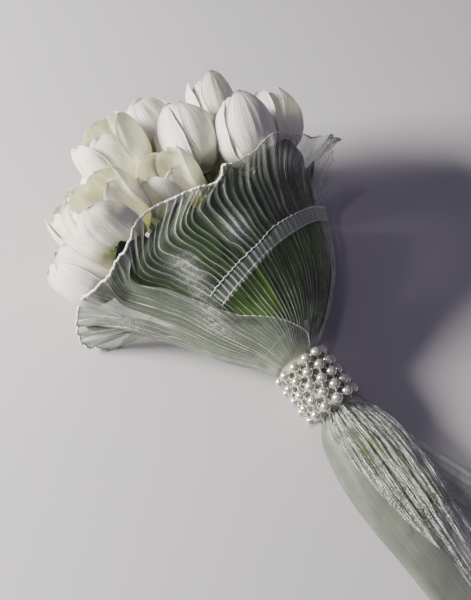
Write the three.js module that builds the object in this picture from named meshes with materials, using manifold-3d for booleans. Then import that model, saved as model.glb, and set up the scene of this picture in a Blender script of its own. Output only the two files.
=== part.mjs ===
// Hand-tied posy of white tulips in a pleated organza wrap, held by a woven band of faux pearls.
// It lies on its side on a table: blooms at -X, wrap tails at +X, +Z up. Millimetres.
import * as THREE from 'three';
import { mergeVertices } from 'three/addons/utils/BufferGeometryUtils.js';
import Module from 'manifold-3d';

const wasm = await Module();
wasm.setup();

// ---- driving dimensions ----
const TILT = 10;                 // the posy rises this many degrees towards the blooms
const BAND_HEIGHT = 21;          // height of the band's centre above the table
const BAND_HALF = 17;            // half the band's length along the posy
const PEARL_R = 3;
const PEARL_ORBIT = 15.4;        // radius of the circle the pearl centres sit on
const PEARL_ROWS = 5;
const PEARLS_PER_ROW = 12;
const ROW_PITCH = 6.9;
const ELASTIC_R = 0.7;

const STEM_R = 1.9;
const INNER_RING = 4.2;          // five stems round the middle one
const OUTER_RING = 8.4;          // nine stems round those
const STEM_TAIL = 95;            // how far the cut ends reach past the band
const TAIL_SPREAD = 1.5;         // sideways spread of the bundle at its cut end
const TAIL_HEIGHT = 12;          // height of the bundle's middle there
const STEM_BEND = 4;             // each bend, just clear of the band, takes this far either side
const STEM_SIDES = 6;

const BLOOM_LENGTH = 46;
const BLOOM_R = 16.4;
const BLOOM_SIDES = 12;

const CLOTH = 0.6;               // thickness of an organza panel
const NECK_R = 10.9;             // middle of the inner layer where it passes through the band
const NECK_GAP = 0.9;            // from the middle of one layer to the middle of the next, in the band
const LAYER_GAP = 1.3;           // and away from the band
const CLOTH_FLOOR = 0.5;         // lowest the middle of a panel goes
const TAIL_END = 165;

const LEAF = 0.8;

// ---- materials ----
const PETAL = { color: 0xf1efe8, roughness: 0.55 };
const GREEN_STEM = { color: 0x7d9a5b, roughness: 0.5 };
const GREEN_LEAF = { color: 0x3f6434, roughness: 0.5 };
const ORGANZA = { color: 0xdfe4de, roughness: 0.35 };
const PEARL = { color: 0xe6e2dd, roughness: 0.18 };

const group = new THREE.Group();
const rad = THREE.MathUtils.degToRad;
const lerp = THREE.MathUtils.lerp;
const V = (x, y, z) => new THREE.Vector3(x, y, z);

const CENTRE = V(0, 0, BAND_HEIGHT);
const AXIS = V(-Math.cos(rad(TILT)), 0, Math.sin(rad(TILT)));
const SIDE = V(0, 1, 0);
const RISE = V(Math.sin(rad(TILT)), 0, Math.cos(rad(TILT)));

function add(name, geometry, look) {
  const mesh = new THREE.Mesh(geometry, new THREE.MeshStandardMaterial({ metalness: 0, ...look }));
  mesh.name = name;
  group.add(mesh);
}

// A point by its distance along the posy, sideways and up from the middle line.
function inBand(along, across, up) {
  return CENTRE.clone().addScaledVector(AXIS, along).addScaledVector(SIDE, across).addScaledVector(RISE, up);
}

// ---- blooms: reach from the band, degrees to the right, degrees up, open or closed, size ----
const BLOOMS = [
  { reach: 166, yaw: 30, pitch: 15, open: false, ring: 1, slot: 0 },
  { reach: 153, yaw: 21, pitch: 25, open: false, ring: 1, slot: 1 },
  { reach: 183, yaw: 18, pitch: 16, open: false, ring: 0, slot: 4 },
  { reach: 162, yaw: 9, pitch: 21, open: false, ring: 0, slot: 0 },
  { reach: 186, yaw: 5, pitch: 11, open: false, ring: -1, slot: 0 },
  { reach: 139, yaw: -3, pitch: 26, open: true, ring: 1, slot: 3 },
  { reach: 178, yaw: -5, pitch: 17, open: true, ring: 1, slot: 2 },
  { reach: 149, yaw: -18, pitch: 25, open: true, ring: 1, slot: 4 },
  { reach: 165, yaw: -18, pitch: 11, open: true, ring: 0, slot: 1 },
  { reach: 147, yaw: -29, pitch: 14, open: false, ring: 1, slot: 5 },
  { reach: 151, yaw: -16, pitch: -1, open: false, ring: 1, slot: 6 },
  { reach: 172, yaw: -6, pitch: 5, open: false, ring: 0, slot: 2 },
  { reach: 152, yaw: 3, pitch: -1, open: false, ring: 0, slot: 3 },
  { reach: 141, yaw: 25, pitch: 3, open: false, ring: 1, slot: 8 },
  { reach: 166, yaw: 14, pitch: 4, open: false, ring: 1, slot: 7 },
];

function bloomDirection({ yaw, pitch }) {
  const flat = Math.cos(rad(pitch));
  return V(-flat * Math.cos(rad(yaw)), flat * Math.sin(rad(yaw)), Math.sin(rad(pitch)));
}

function bloomProfile(open) {
  const closed = [[0, 0], [0.34, 0.03], [0.7, 0.13], [0.94, 0.3], [1, 0.47], [0.92, 0.66],
    [0.7, 0.83], [0.36, 0.95], [0, 1]];
  const cup = [[0, 0], [0.34, 0.03], [0.7, 0.13], [0.95, 0.3], [1.04, 0.5], [1.05, 0.7], [1.02, 0.86],
    [0.95, 0.87], [0.93, 0.68], [0.86, 0.48], [0.6, 0.3], [0, 0.22]];
  const shape = open ? cup : closed;
  return shape.map(([r, h]) => new THREE.Vector2(r * BLOOM_R, (h - 0.5) * BLOOM_LENGTH));
}

// Six tepals: three outer ones stand proud, and on an open bloom their tips make a wavy lip.
function bloom(name, spec) {
  const geometry = new THREE.LatheGeometry(bloomProfile(spec.open), BLOOM_SIDES);
  geometry.deleteAttribute('uv');
  geometry.deleteAttribute('normal');
  const at = geometry.attributes.position;
  for (let i = 0; i < at.count; i += 1) {
    const turn = Math.atan2(at.getZ(i), at.getX(i));
    const proud = 1 + 0.03 * Math.cos(3 * turn);
    const height = at.getY(i) / BLOOM_LENGTH + 0.5;
    const lip = spec.open && height > 0.8 ? 2.4 * Math.cos(6 * turn) : 0;
    at.setXYZ(i, at.getX(i) * proud, at.getY(i) + lip, at.getZ(i) * proud);
  }
  const merged = mergeVertices(geometry, 1e-3);
  const direction = bloomDirection(spec);
  merged.applyQuaternion(new THREE.Quaternion().setFromUnitVectors(V(0, 1, 0), direction));
  const middle = CENTRE.clone().addScaledVector(direction, spec.reach);
  merged.translate(middle.x, middle.y, middle.z);
  add(name, dropFlat(merged), PETAL);
}

// ---- stems ----
function stemPlace({ ring, slot }) {
  if (ring < 0) return [0, 0];
  const turn = ring === 0 ? rad(30 + 72 * slot) : rad(40 * slot);
  const r = ring === 0 ? INNER_RING : OUTER_RING;
  return [r * Math.cos(turn), r * Math.sin(turn)];
}

// Past the band the bundle keeps its order, spreads a little sideways and comes down to the table.
function stemEnd(spec, i) {
  const [across, up] = stemPlace(spec);
  return V(STEM_TAIL - 3 * (i % 3), TAIL_SPREAD * across, TAIL_HEIGHT + up);
}

// A closed rod through a few points, its joints mitred, with flat ends.
function rod(points, radius, sides) {
  const positions = [];
  points.forEach((point, i) => {
    const back = point.clone().sub(points[Math.max(i - 1, 0)]).normalize();
    const on = points[Math.min(i + 1, points.length - 1)].clone().sub(point).normalize();
    const along = back.add(on).normalize();
    const across = V(0, 0, 1).cross(along).normalize();
    const up = along.clone().cross(across);
    for (let k = 0; k < sides; k += 1) {
      const turn = (k * 2 * Math.PI) / sides;
      const p = point.clone().addScaledVector(across, radius * Math.cos(turn));
      p.addScaledVector(up, radius * Math.sin(turn));
      positions.push(p.x, p.y, p.z);
    }
  });
  const index = [];
  const last = (points.length - 1) * sides;
  for (let i = 0; i < last; i += sides) {
    for (let k = 0; k < sides; k += 1) {
      const next = (k + 1) % sides;
      index.push(i + k, i + next, i + sides + next, i + k, i + sides + next, i + sides + k);
    }
  }
  for (let k = 1; k < sides - 1; k += 1) {
    index.push(0, k + 1, k, last, last + k, last + k + 1);
  }
  const geometry = new THREE.BufferGeometry();
  geometry.setAttribute('position', new THREE.Float32BufferAttribute(positions, 3));
  geometry.setIndex(index);
  return geometry;
}

// A stem is straight on each side of the band and bends gently where it goes through.
function stem(name, spec, end) {
  const [across, up] = stemPlace(spec);
  const direction = bloomDirection(spec);
  const base = CENTRE.clone().addScaledVector(direction, spec.reach - BLOOM_LENGTH / 2 - 0.4);
  const tailSide = inBand(-BAND_HALF - STEM_BEND, across, up);
  const bloomSide = inBand(BAND_HALF + STEM_BEND, across, up);
  const points = [
    end,
    tailSide.clone().lerp(end, STEM_BEND / tailSide.distanceTo(end)),
    inBand(-BAND_HALF, across, up),
    inBand(BAND_HALF, across, up),
    bloomSide.clone().lerp(base, STEM_BEND / bloomSide.distanceTo(base)),
    base,
  ];
  add(name, rod(points, STEM_R, STEM_SIDES), GREEN_STEM);
}

// ---- organza ----
// Sections across the wrap: place along X, middle and half width in Y, top and bottom in Z.
const SECTIONS = [
  { x: TAIL_END, y: -6.5, half: 20.5, top: 7, bottom: -4 },
  { x: 135, y: -6, half: 22, top: 12, bottom: -4 },
  { x: 105, y: -4.5, half: 23.5, top: 22, bottom: -4 },
  { x: 75, y: -2, half: 26, top: 26, bottom: -4 },
  { x: 50, y: 0.5, half: 26, top: 28, bottom: -2 },
  { x: 30, y: 0, half: 20.5, top: 30, bottom: 2.5 },
  { x: 21, y: 0, half: 15, top: 30.4, bottom: 4.4 },
];
const CONE = [
  { x: -21, y: 3, half: 17, top: 41, bottom: 9 },
  { x: -32, y: 8, half: 29, top: 50, bottom: 3 },
  { x: -48, y: 10.5, half: 44, top: 61, bottom: -3 },
  { x: -65, y: 10, half: 55, top: 75, bottom: -6 },
  { x: -80, y: 8, half: 64, top: 87, bottom: -8 },
  { x: -94, y: 6, half: 74, top: 96, bottom: -8 },
];
// The rim: degrees round the mouth (0 right, 90 top, 180 left), then its place.
const RIM = [
  [0, -106, 98, 44], [22, -106, 96, 60], [42, -106, 80, 76], [60, -113, 58, 92], [76, -106, 36, 99],
  [88, -103, 18, 104], [100, -100, 8, 102], [122, -107, -12, 99], [140, -111, -38, 95],
  [152, -102, -57, 87], [164, -101, -69, 77], [176, -110, -80, 58], [188, -115, -84, 32],
  [200, -115, -86, 14], [212, -108, -84, 4], [226, -103, -68, -2], [250, -106, -36, -4],
  [270, -108, 0, -4], [300, -108, 44, -4], [322, -106, 74, 0], [342, -105, 94, 16], [360, -106, 98, 44],
];

function onSection({ x, y, half, top, bottom }, turn) {
  const mid = (top + bottom) / 2;
  return V(x, y + half * Math.cos(turn), mid + (top - mid) * Math.sin(turn));
}

function onNeck(along, turn) {
  return inBand(along, NECK_R * Math.cos(turn), NECK_R * Math.sin(turn));
}

function onRim(turn) {
  const degrees = (((turn * 180) / Math.PI) % 360 + 360) % 360;
  const next = RIM.findIndex(([at]) => at > degrees);
  const [a0, ...from] = RIM[next - 1];
  const [a1, ...to] = RIM[next];
  const t = (degrees - a0) / (a1 - a0);
  return V(...from).lerp(V(...to), t);
}

// One lengthwise line of the wrap, from the tail's end through the band to the rim.
function lengthLine(turn) {
  const points = SECTIONS.map((section) => onSection(section, turn));
  points.push(onNeck(-BAND_HALF, turn), onNeck(0, turn), onNeck(BAND_HALF, turn));
  CONE.forEach((section) => points.push(onSection(section, turn)));
  points.push(onRim(turn));
  return points;
}
const LAST_ROW = SECTIONS.length + 3 + CONE.length;
const NECK_ROW = SECTIONS.length + 1;

function onWrap(row, turn) {
  const points = lengthLine(turn);
  const i = Math.min(Math.floor(row), LAST_ROW - 1);
  const t = row - i;
  const before = points[Math.max(i - 1, 0)];
  const [from, to] = [points[i], points[i + 1]];
  const after = points[Math.min(i + 2, LAST_ROW)];
  const inNeck = i === NECK_ROW - 1 || i === NECK_ROW;
  if (inNeck) return from.clone().lerp(to, t);
  const bend = (p0, p1, p2, p3) => p1 + 0.5 * t * (p2 - p0
    + t * (2 * p0 - 5 * p1 + 4 * p2 - p3 + t * (3 * (p1 - p2) + p3 - p0)));
  return V(bend(before.x, from.x, to.x, after.x), bend(before.y, from.y, to.y, after.y),
    bend(before.z, from.z, to.z, after.z));
}

function wrapNormal(row, turn) {
  const low = Math.max(row - 0.05, 0);
  const high = Math.min(row + 0.05, LAST_ROW);
  const along = onWrap(high, turn).sub(onWrap(low, turn));
  const across = onWrap(row, turn + 0.02).sub(onWrap(row, turn - 0.02));
  return across.cross(along).negate().normalize();
}

// The outward direction at each point of a grid, from its neighbours.
function gridNormals(grid) {
  const rows = grid.length - 1;
  const columns = grid[0].length - 1;
  return grid.map((line, r) => line.map((point, c) => {
    const along = grid[Math.min(r + 1, rows)][c].clone().sub(grid[Math.max(r - 1, 0)][c]);
    const across = line[Math.min(c + 1, columns)].clone().sub(line[Math.max(c - 1, 0)]);
    return along.cross(across).normalize();
  }));
}

// A closed thin shell about a grid of middle points, which are first kept off the table.
function shell(grid, thickness, floor) {
  grid.forEach((line) => line.forEach((point) => {
    point.z = Math.max(point.z, floor);
  }));
  const normals = gridNormals(grid);
  const rows = grid.length;
  const columns = grid[0].length;
  const positions = [];
  [-0.5, 0.5].forEach((side) => {
    grid.forEach((line, r) => line.forEach((point, c) => {
      const p = point.clone().addScaledVector(normals[r][c], side * thickness);
      positions.push(p.x, p.y, p.z);
    }));
  });
  const inner = (r, c) => r * columns + c;
  const outer = (r, c) => rows * columns + r * columns + c;
  const index = [];
  const quad = (a, b, c, d) => index.push(a, c, b, a, d, c);
  for (let r = 0; r < rows - 1; r += 1) {
    for (let c = 0; c < columns - 1; c += 1) {
      quad(outer(r, c), outer(r, c + 1), outer(r + 1, c + 1), outer(r + 1, c));
      quad(inner(r, c), inner(r + 1, c), inner(r + 1, c + 1), inner(r, c + 1));
    }
  }
  for (let r = 0; r < rows - 1; r += 1) {
    quad(inner(r, 0), outer(r, 0), outer(r + 1, 0), inner(r + 1, 0));
    quad(outer(r, columns - 1), inner(r, columns - 1), inner(r + 1, columns - 1), outer(r + 1, columns - 1));
  }
  for (let c = 0; c < columns - 1; c += 1) {
    quad(outer(0, c), inner(0, c), inner(0, c + 1), outer(0, c + 1));
    quad(inner(rows - 1, c), outer(rows - 1, c), outer(rows - 1, c + 1), inner(rows - 1, c + 1));
  }
  const geometry = new THREE.BufferGeometry();
  geometry.setAttribute('position', new THREE.Float32BufferAttribute(positions, 3));
  geometry.setIndex(index);
  return geometry;
}

// Distance a layer stands outside the wrap's own surface: least inside the band.
function lift(row, layer) {
  const away = Math.abs(row - NECK_ROW) - 1;
  return layer * lerp(NECK_GAP, LAYER_GAP, THREE.MathUtils.clamp(away / 0.5, 0, 1));
}

// Reads a list of [row, degrees] pairs between its points.
function edgeAt(edge, row) {
  const next = edge.findIndex(([at]) => at >= row);
  if (next <= 0) return edge[next < 0 ? edge.length - 1 : 0][1];
  const [r0, d0] = edge[next - 1];
  const [r1, d1] = edge[next];
  return lerp(d0, d1, (row - r0) / (r1 - r0));
}

// A panel lies between two edges, each given as [row, degrees] pairs from tail to rim.
function panel(name, { fromRow, toRow, start, end, layer, columns, shift }) {
  const grid = [];
  const step = 0.5;
  for (let row = fromRow; row <= toRow + 1e-6; row += step) {
    const line = [];
    for (let c = 0; c <= columns; c += 1) {
      const v = c / columns;
      const turn = rad(lerp(edgeAt(start, row), edgeAt(end, row), v));
      const normal = wrapNormal(row, turn);
      const point = onWrap(row, turn).addScaledVector(normal, lift(row, layer));
      if (shift) shift(row, v, point);
      line.push(point);
    }
    grid.push(line);
  }
  add(name, shell(grid, CLOTH, CLOTH_FLOOR), ORGANZA);
}

// ---- leaves: inside the wrap, each a pointed strip that follows it ----
const LEAVES = [
  { turn: 126, half: 15, end: 15.3, inset: 2.8 },
  { turn: 86, half: 14, end: 15.1, inset: 3.4 },
  { turn: 50, half: 14, end: 15.6, inset: 2.8 },
  { turn: 12, half: 13, end: 15.2, inset: 2.8 },
  { turn: 204, half: 12, end: 15.8, inset: 2.6 },
  { turn: 160, half: 10, end: 15.1, inset: 2.2 },
  { turn: 322, half: 12, end: 15.1, inset: 2.8 },
];

function leaf(name, { turn, half, end, inset }) {
  const grid = [];
  const start = NECK_ROW + 2.6;
  const steps = 11;
  for (let r = 0; r <= steps; r += 1) {
    const t = r / steps;
    const row = lerp(start, end, t);
    const wide = half * Math.min(1, 0.9 * Math.sin(Math.PI * (0.3 + 0.69 * t)) + 0.1);
    const deep = lerp(1.3, inset, t);
    const line = [];
    for (let c = 0; c <= 4; c += 1) {
      const at = rad(turn + lerp(-wide, wide, c / 4));
      line.push(onWrap(row, at).addScaledVector(wrapNormal(row, at), -deep));
    }
    grid.push(line);
  }
  add(name, shell(grid, LEAF, CLOTH_FLOOR + 2), GREEN_LEAF);
}

// ---- pearls ----
function toSolid(geometry) {
  geometry.deleteAttribute('normal');
  geometry.deleteAttribute('uv');
  const merged = mergeVertices(geometry, 1e-4);
  return new wasm.Manifold(new wasm.Mesh({
    numProp: 3,
    vertProperties: new Float32Array(merged.attributes.position.array),
    triVerts: new Uint32Array(merged.index.array),
  }));
}

function fromSolid(solid) {
  const mesh = solid.getMesh();
  const geometry = new THREE.BufferGeometry();
  geometry.setAttribute('position', new THREE.Float32BufferAttribute(mesh.vertProperties, 3));
  geometry.setIndex(Array.from(mesh.triVerts));
  return geometry;
}

// One row: pearls threaded on a ring of elastic.
function pearlRow(name, row) {
  const along = (row - (PEARL_ROWS - 1) / 2) * ROW_PITCH;
  const stagger = (row % 2) * (Math.PI / PEARLS_PER_ROW);
  let solid = toSolid(new THREE.TorusGeometry(PEARL_ORBIT, ELASTIC_R, 4, PEARLS_PER_ROW * 2));
  for (let k = 0; k < PEARLS_PER_ROW; k += 1) {
    const turn = stagger + (k * 2 * Math.PI) / PEARLS_PER_ROW;
    const pearl = new THREE.OctahedronGeometry(PEARL_R, 1);
    pearl.rotateZ(turn);
    pearl.translate(PEARL_ORBIT * Math.cos(turn), PEARL_ORBIT * Math.sin(turn), 0);
    solid = solid.add(toSolid(pearl));
  }
  const geometry = fromSolid(solid);
  const place = new THREE.Matrix4().makeBasis(SIDE, RISE, SIDE.clone().cross(RISE));
  geometry.applyMatrix4(place);
  const middle = inBand(along, 0, 0);
  geometry.translate(middle.x, middle.y, middle.z);
  add(name, geometry, PEARL);
}

function dropFlat(geometry) {
  geometry.deleteAttribute('normal');
  if (geometry.attributes.uv) geometry.deleteAttribute('uv');
  return mergeVertices(geometry, 1e-3);
}

// ---- build ----
BLOOMS.forEach((spec, i) => bloom(`tulip_bloom_${i + 1}`, spec));
BLOOMS.forEach((spec, i) => stem(`tulip_stem_${i + 1}`, spec, stemEnd(spec, i)));
LEAVES.forEach((spec, i) => leaf(`tulip_leaf_${i + 1}`, spec));

// The right-hand tail leaves the others and lies flat to the right.
function rightTail(row, v, point) {
  const away = THREE.MathUtils.smoothstep(NECK_ROW - 2.4 - row, 0, 2);
  const left = lerp(10, 24, THREE.MathUtils.clamp((point.x - 40) / 60, 0, 1));
  const right = lerp(27, 44, THREE.MathUtils.clamp((point.x - 40) / 60, 0, 1));
  point.y = lerp(point.y, lerp(left, right, v), away);
  point.z = lerp(point.z, 1 + 0.6 * Math.sin(v * Math.PI), away);
}

panel('organza_top_panel', {
  fromRow: 0,
  toRow: LAST_ROW,
  start: [[0, 35], [7, 32], [LAST_ROW, 28]],
  end: [[0, 92], [1.5, 96], [2.5, 116], [3.5, 124], [5, 138], [7, 145], [9, 147], [LAST_ROW, 163]],
  layer: 0,
  columns: 18,
});
panel('organza_left_flap', {
  fromRow: 0,
  toRow: LAST_ROW,
  start: [[0, 97], [1.5, 101], [2.5, 121], [3.5, 129], [5, 143], [7, 150], [9, 62], [10, 70], [11, 100],
    [12, 127], [13, 137], [LAST_ROW, 149]],
  end: [[0, 232], [7, 237], [9, 237], [LAST_ROW, 234]],
  layer: 1,
  columns: 18,
});
panel('organza_under_panel', {
  fromRow: 0,
  toRow: LAST_ROW,
  start: [[0, 243], [LAST_ROW, 238]],
  end: [[0, 386], [7, 387], [LAST_ROW, 385]],
  layer: 0,
  columns: 18,
  shift: rightTail,
});
panel('organza_collar', {
  fromRow: LAST_ROW - 3.5,
  toRow: LAST_ROW,
  start: [[0, 24], [LAST_ROW, 24]],
  end: [[12, 126], [13, 132], [LAST_ROW, 145]],
  layer: 1,
  columns: 18,
});
for (let row = 0; row < PEARL_ROWS; row += 1) pearlRow(`pearl_row_${row + 1}`, row);

// Origin: the middle of the box round everything, on the table.
const box = new THREE.Box3().setFromObject(group);
const shift = V(-(box.min.x + box.max.x) / 2, -(box.min.y + box.max.y) / 2, -box.min.z);
group.children.forEach((mesh) => mesh.geometry.translate(shift.x, shift.y, shift.z));

export default group;
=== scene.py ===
import math
import random

import bpy
import numpy as np
from mathutils import Matrix, Vector


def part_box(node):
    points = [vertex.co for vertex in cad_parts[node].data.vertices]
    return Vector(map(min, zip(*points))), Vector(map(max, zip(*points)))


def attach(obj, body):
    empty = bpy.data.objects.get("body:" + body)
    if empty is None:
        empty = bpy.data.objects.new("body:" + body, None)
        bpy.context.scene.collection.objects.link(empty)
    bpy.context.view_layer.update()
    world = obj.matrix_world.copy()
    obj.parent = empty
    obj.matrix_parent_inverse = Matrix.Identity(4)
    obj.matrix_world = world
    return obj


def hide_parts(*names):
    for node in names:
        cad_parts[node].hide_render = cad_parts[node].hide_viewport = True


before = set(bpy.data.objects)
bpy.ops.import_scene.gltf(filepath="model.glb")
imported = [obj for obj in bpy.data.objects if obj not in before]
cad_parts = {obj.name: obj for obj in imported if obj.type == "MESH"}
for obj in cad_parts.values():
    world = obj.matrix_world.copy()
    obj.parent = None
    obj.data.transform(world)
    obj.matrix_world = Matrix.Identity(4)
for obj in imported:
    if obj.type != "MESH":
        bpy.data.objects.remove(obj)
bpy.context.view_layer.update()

# A hand-tied posy of white tulips in pleated organza, lying on a table.
# Lengths are in millimetres until a mesh is made.
MM = 0.001
PI = math.pi


def middle_of(node):
    low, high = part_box(node)
    return np.array((low + high) * 0.5) / MM


# ---- the frame: the band's middle and the line the posy follows ----
TILT = math.radians(10)
BAND = middle_of("pearl_row_3")
BAND_HEIGHT = 21.0
SHIFT = BAND - np.array([0.0, 0.0, BAND_HEIGHT])
AXIS = np.array([-math.cos(TILT), 0.0, math.sin(TILT)])
SIDE = np.array([0.0, 1.0, 0.0])
RISE = np.array([math.sin(TILT), 0.0, math.cos(TILT)])


# ---- camera: looks down on the posy from its left ----
CAMERA_TURN = math.radians(52)
CAMERA_LIFT = math.radians(60)
LOOK_BACK = np.array([
    math.sin(CAMERA_TURN) * math.cos(CAMERA_LIFT),
    -math.cos(CAMERA_TURN) * math.cos(CAMERA_LIFT),
    math.sin(CAMERA_LIFT),
])
LOOK_RIGHT = np.array([math.cos(CAMERA_TURN), math.sin(CAMERA_TURN), 0.0])
LOOK_UP = np.cross(LOOK_BACK, LOOK_RIGHT)
LENS = 60
SENSOR = 36
CAMERA_DISTANCE = 568.0
CAMERA_LEFT = 46.0
CAMERA_ABOVE = 49.0


def make_camera():
    data = bpy.data.cameras.new("camera")
    data.lens = LENS
    data.sensor_width = SENSOR
    camera = bpy.data.objects.new("camera", data)
    bpy.context.scene.collection.objects.link(camera)
    place = BAND + LOOK_BACK * CAMERA_DISTANCE - LOOK_RIGHT * CAMERA_LEFT + LOOK_UP * CAMERA_ABOVE
    turn = Matrix((LOOK_RIGHT, LOOK_UP, LOOK_BACK)).transposed()
    camera.matrix_world = Matrix.Translation(Vector(place * MM)) @ turn.to_4x4()
    data.clip_start = 0.01
    data.clip_end = 20
    bpy.context.scene.camera = camera


make_camera()


# ---- small tools ----
def linear(code, alpha=1.0):
    """An sRGB hex colour as linear numbers."""
    parts = [int(code[i:i + 2], 16) / 255 for i in (1, 3, 5)]
    return tuple(c / 12.92 if c <= 0.04045 else ((c + 0.055) / 1.055) ** 2.4 for c in parts) + (alpha,)


def add_node(tree, kind, inputs=None, **settings):
    """Adds a node with its settings. An input that is a socket, or a node (its first working output), is
    linked; anything else is set."""
    made = tree.nodes.new("ShaderNode" + kind)
    for key, value in settings.items():
        setattr(made, key, value)
    for socket, value in (inputs or {}).items():
        if isinstance(value, bpy.types.Node):
            value = next(output for output in value.outputs if output.enabled)
        if isinstance(value, bpy.types.NodeSocket):
            tree.links.new(value, made.inputs[socket])
        else:
            made.inputs[socket].default_value = value
    return made


def new_material(name):
    material = bpy.data.materials.new(name)
    material.use_nodes = True
    tree = material.node_tree
    tree.nodes.clear()
    return material, tree


def set_stops(ramp, stops):
    """Sets a colour ramp's stops from (place, colour) pairs."""
    elements = ramp.color_ramp.elements
    while len(elements) > 1:
        elements.remove(elements[-1])
    for i, (place, colour) in enumerate(stops):
        element = elements[0] if i == 0 else elements.new(place)
        element.position = place
        element.color = colour


def smooth(low, high, value):
    """0 at low, 1 at high and an even S between; low may be the larger."""
    t = np.clip((np.asarray(value, float) - low) / (high - low), 0, 1)
    return t * t * (3 - 2 * t)


def bump_at(value, middle, width):
    """A soft hump of height 1."""
    return np.exp(-(((np.asarray(value, float) - middle) / width) ** 2))


def mesh_piece(name, points, faces, material, replaces=(), numbers=None, uv=None):
    """Makes one smooth piece from points in millimetres, with named numbers on its points and a UV map."""
    mesh = bpy.data.meshes.new(name)
    mesh.from_pydata(((np.asarray(points) + SHIFT) * MM).tolist(), [], [list(map(int, f)) for f in faces])
    mesh.update()
    mesh.polygons.foreach_set("use_smooth", [True] * len(mesh.polygons))
    for key, values in (numbers or {}).items():
        mesh.attributes.new(key, "FLOAT", "POINT").data.foreach_set("value", np.asarray(values, np.float32))
    if uv is not None:
        layer = mesh.uv_layers.new(name="surface")
        corners = np.zeros(len(mesh.loops), np.int32)
        mesh.loops.foreach_get("vertex_index", corners)
        layer.data.foreach_set("uv", np.asarray(uv, np.float32)[corners].ravel())
    mesh.materials.append(material)
    piece = bpy.data.objects.new(name, mesh)
    bpy.context.scene.collection.objects.link(piece)
    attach(piece, "root")
    if replaces:
        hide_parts(*replaces)
    return piece


def grid_faces(rows, columns, start=0, closed=False, flip=False):
    """Quads over a grid of rows and columns of points; closed joins the last column to the first."""
    r, c = np.meshgrid(np.arange(rows - 1), np.arange(columns if closed else columns - 1), indexing="ij")
    n = (c + 1) % columns
    a, b = r * columns + c, r * columns + n
    d, e = (r + 1) * columns + c, (r + 1) * columns + n
    quads = np.stack([a, b, e, d] if not flip else [a, d, e, b], -1).reshape(-1, 4)
    return quads + start


def grid_normals(grid):
    """The direction each point of a grid faces."""
    along = np.gradient(grid, axis=0)
    across = np.gradient(grid, axis=1)
    normal = np.cross(along, across)
    return normal / np.maximum(np.linalg.norm(normal, axis=-1, keepdims=True), 1e-9)


def closed_shell(grid, thickness):
    """Points and faces of a closed sheet about a grid of middle points. thickness may vary over it."""
    rows, columns = grid.shape[:2]
    normal = grid_normals(grid)
    half = np.broadcast_to(np.asarray(thickness, float), (rows, columns))[..., None] * 0.5
    points = np.concatenate([(grid + normal * half).reshape(-1, 3), (grid - normal * half).reshape(-1, 3)])
    n = rows * columns
    faces = [grid_faces(rows, columns, flip=True), grid_faces(rows, columns, start=n)]
    r = np.arange(rows - 1) * columns
    c = np.arange(columns - 1)
    last = (rows - 1) * columns
    faces.append(np.stack([r, r + columns, r + columns + n, r + n], -1))
    side = r + columns - 1
    faces.append(np.stack([side + n, side + columns + n, side + columns, side], -1))
    faces.append(np.stack([c + n, c + 1 + n, c + 1, c], -1))
    faces.append(np.stack([last + c, last + c + 1, last + c + 1 + n, last + c + n], -1))
    return points, np.concatenate(faces)


NOT_ALONG_A_PATH = [0.31, 0.2, 0.93]


def tube(path, radius, sides=10):
    """A closed round tube along a path. radius may be one number or one for each point."""
    path = np.asarray(path, float)
    n = len(path)
    radius = np.broadcast_to(np.asarray(radius, float), (n,))
    tangent = np.gradient(path, axis=0)
    tangent /= np.linalg.norm(tangent, axis=1, keepdims=True)
    normal = np.cross(tangent[0], NOT_ALONG_A_PATH)
    normal /= np.linalg.norm(normal)
    rings = []
    for i in range(n):
        normal = normal - tangent[i] * (normal @ tangent[i])
        normal /= np.linalg.norm(normal)
        other = np.cross(tangent[i], normal)
        turn = np.linspace(0, 2 * PI, sides, endpoint=False)
        ring = np.outer(np.cos(turn), normal) + np.outer(np.sin(turn), other)
        rings.append(path[i] + radius[i] * ring)
    points = np.concatenate(rings + [path[:1], path[-1:]])
    faces = [tuple(q) for q in grid_faces(n, sides, closed=True)]
    first, last = n * sides, n * sides + 1
    for k in range(sides):
        faces.append((first, (k + 1) % sides, k))
        faces.append((last, (n - 1) * sides + k, (n - 1) * sides + (k + 1) % sides))
    return points, faces


def join_parts(parts):
    """Joins (points, faces) pairs into one."""
    points, faces, start = [], [], 0
    for p, f in parts:
        points.append(p)
        faces.extend([tuple(int(i) + start for i in face) for face in f])
        start += len(p)
    return np.concatenate(points), faces


def through(points, count):
    """A smooth line through a few points, evenly spaced."""
    p = np.asarray(points, float)
    p = np.concatenate([[2 * p[0] - p[1]], p, [2 * p[-1] - p[-2]]])
    fine = []
    for i in range(1, len(p) - 2):
        t = np.linspace(0, 1, 24, endpoint=False)[:, None]
        a, b, c, d = p[i - 1], p[i], p[i + 1], p[i + 2]
        fine.append(0.5 * (2 * b + t * (c - a) + t * t * (2 * a - 5 * b + 4 * c - d)
                           + t ** 3 * (3 * (b - c) + d - a)))
    fine = np.concatenate(fine + [p[-2:-1]])
    length = np.concatenate([[0], np.cumsum(np.linalg.norm(np.diff(fine, axis=0), axis=1))])
    at = np.linspace(0, length[-1], count)
    return np.stack([np.interp(at, length, fine[:, k]) for k in range(3)], 1)


WAVE_LAYERS = 3
FINER = 1.9
WEAKER = 0.6


def waves(seed, points, size):
    """Smooth seeded noise, about -1 to 1, from crossing waves; size is the longest wavelength."""
    draw = random.Random(seed)
    points = np.asarray(points, float)
    total = np.zeros(points.shape[:-1])
    weight = 0.0
    for layer in range(WAVE_LAYERS):
        for _ in range(3):
            way = np.array([draw.gauss(0, 1) for _ in range(points.shape[-1])])
            way *= 2 * PI / (size / FINER ** layer) / max(np.linalg.norm(way), 1e-6)
            total += WEAKER ** layer * np.sin(points @ way + draw.uniform(0, 2 * PI))
            weight += WEAKER ** layer * 0.5
    return total / weight


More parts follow.
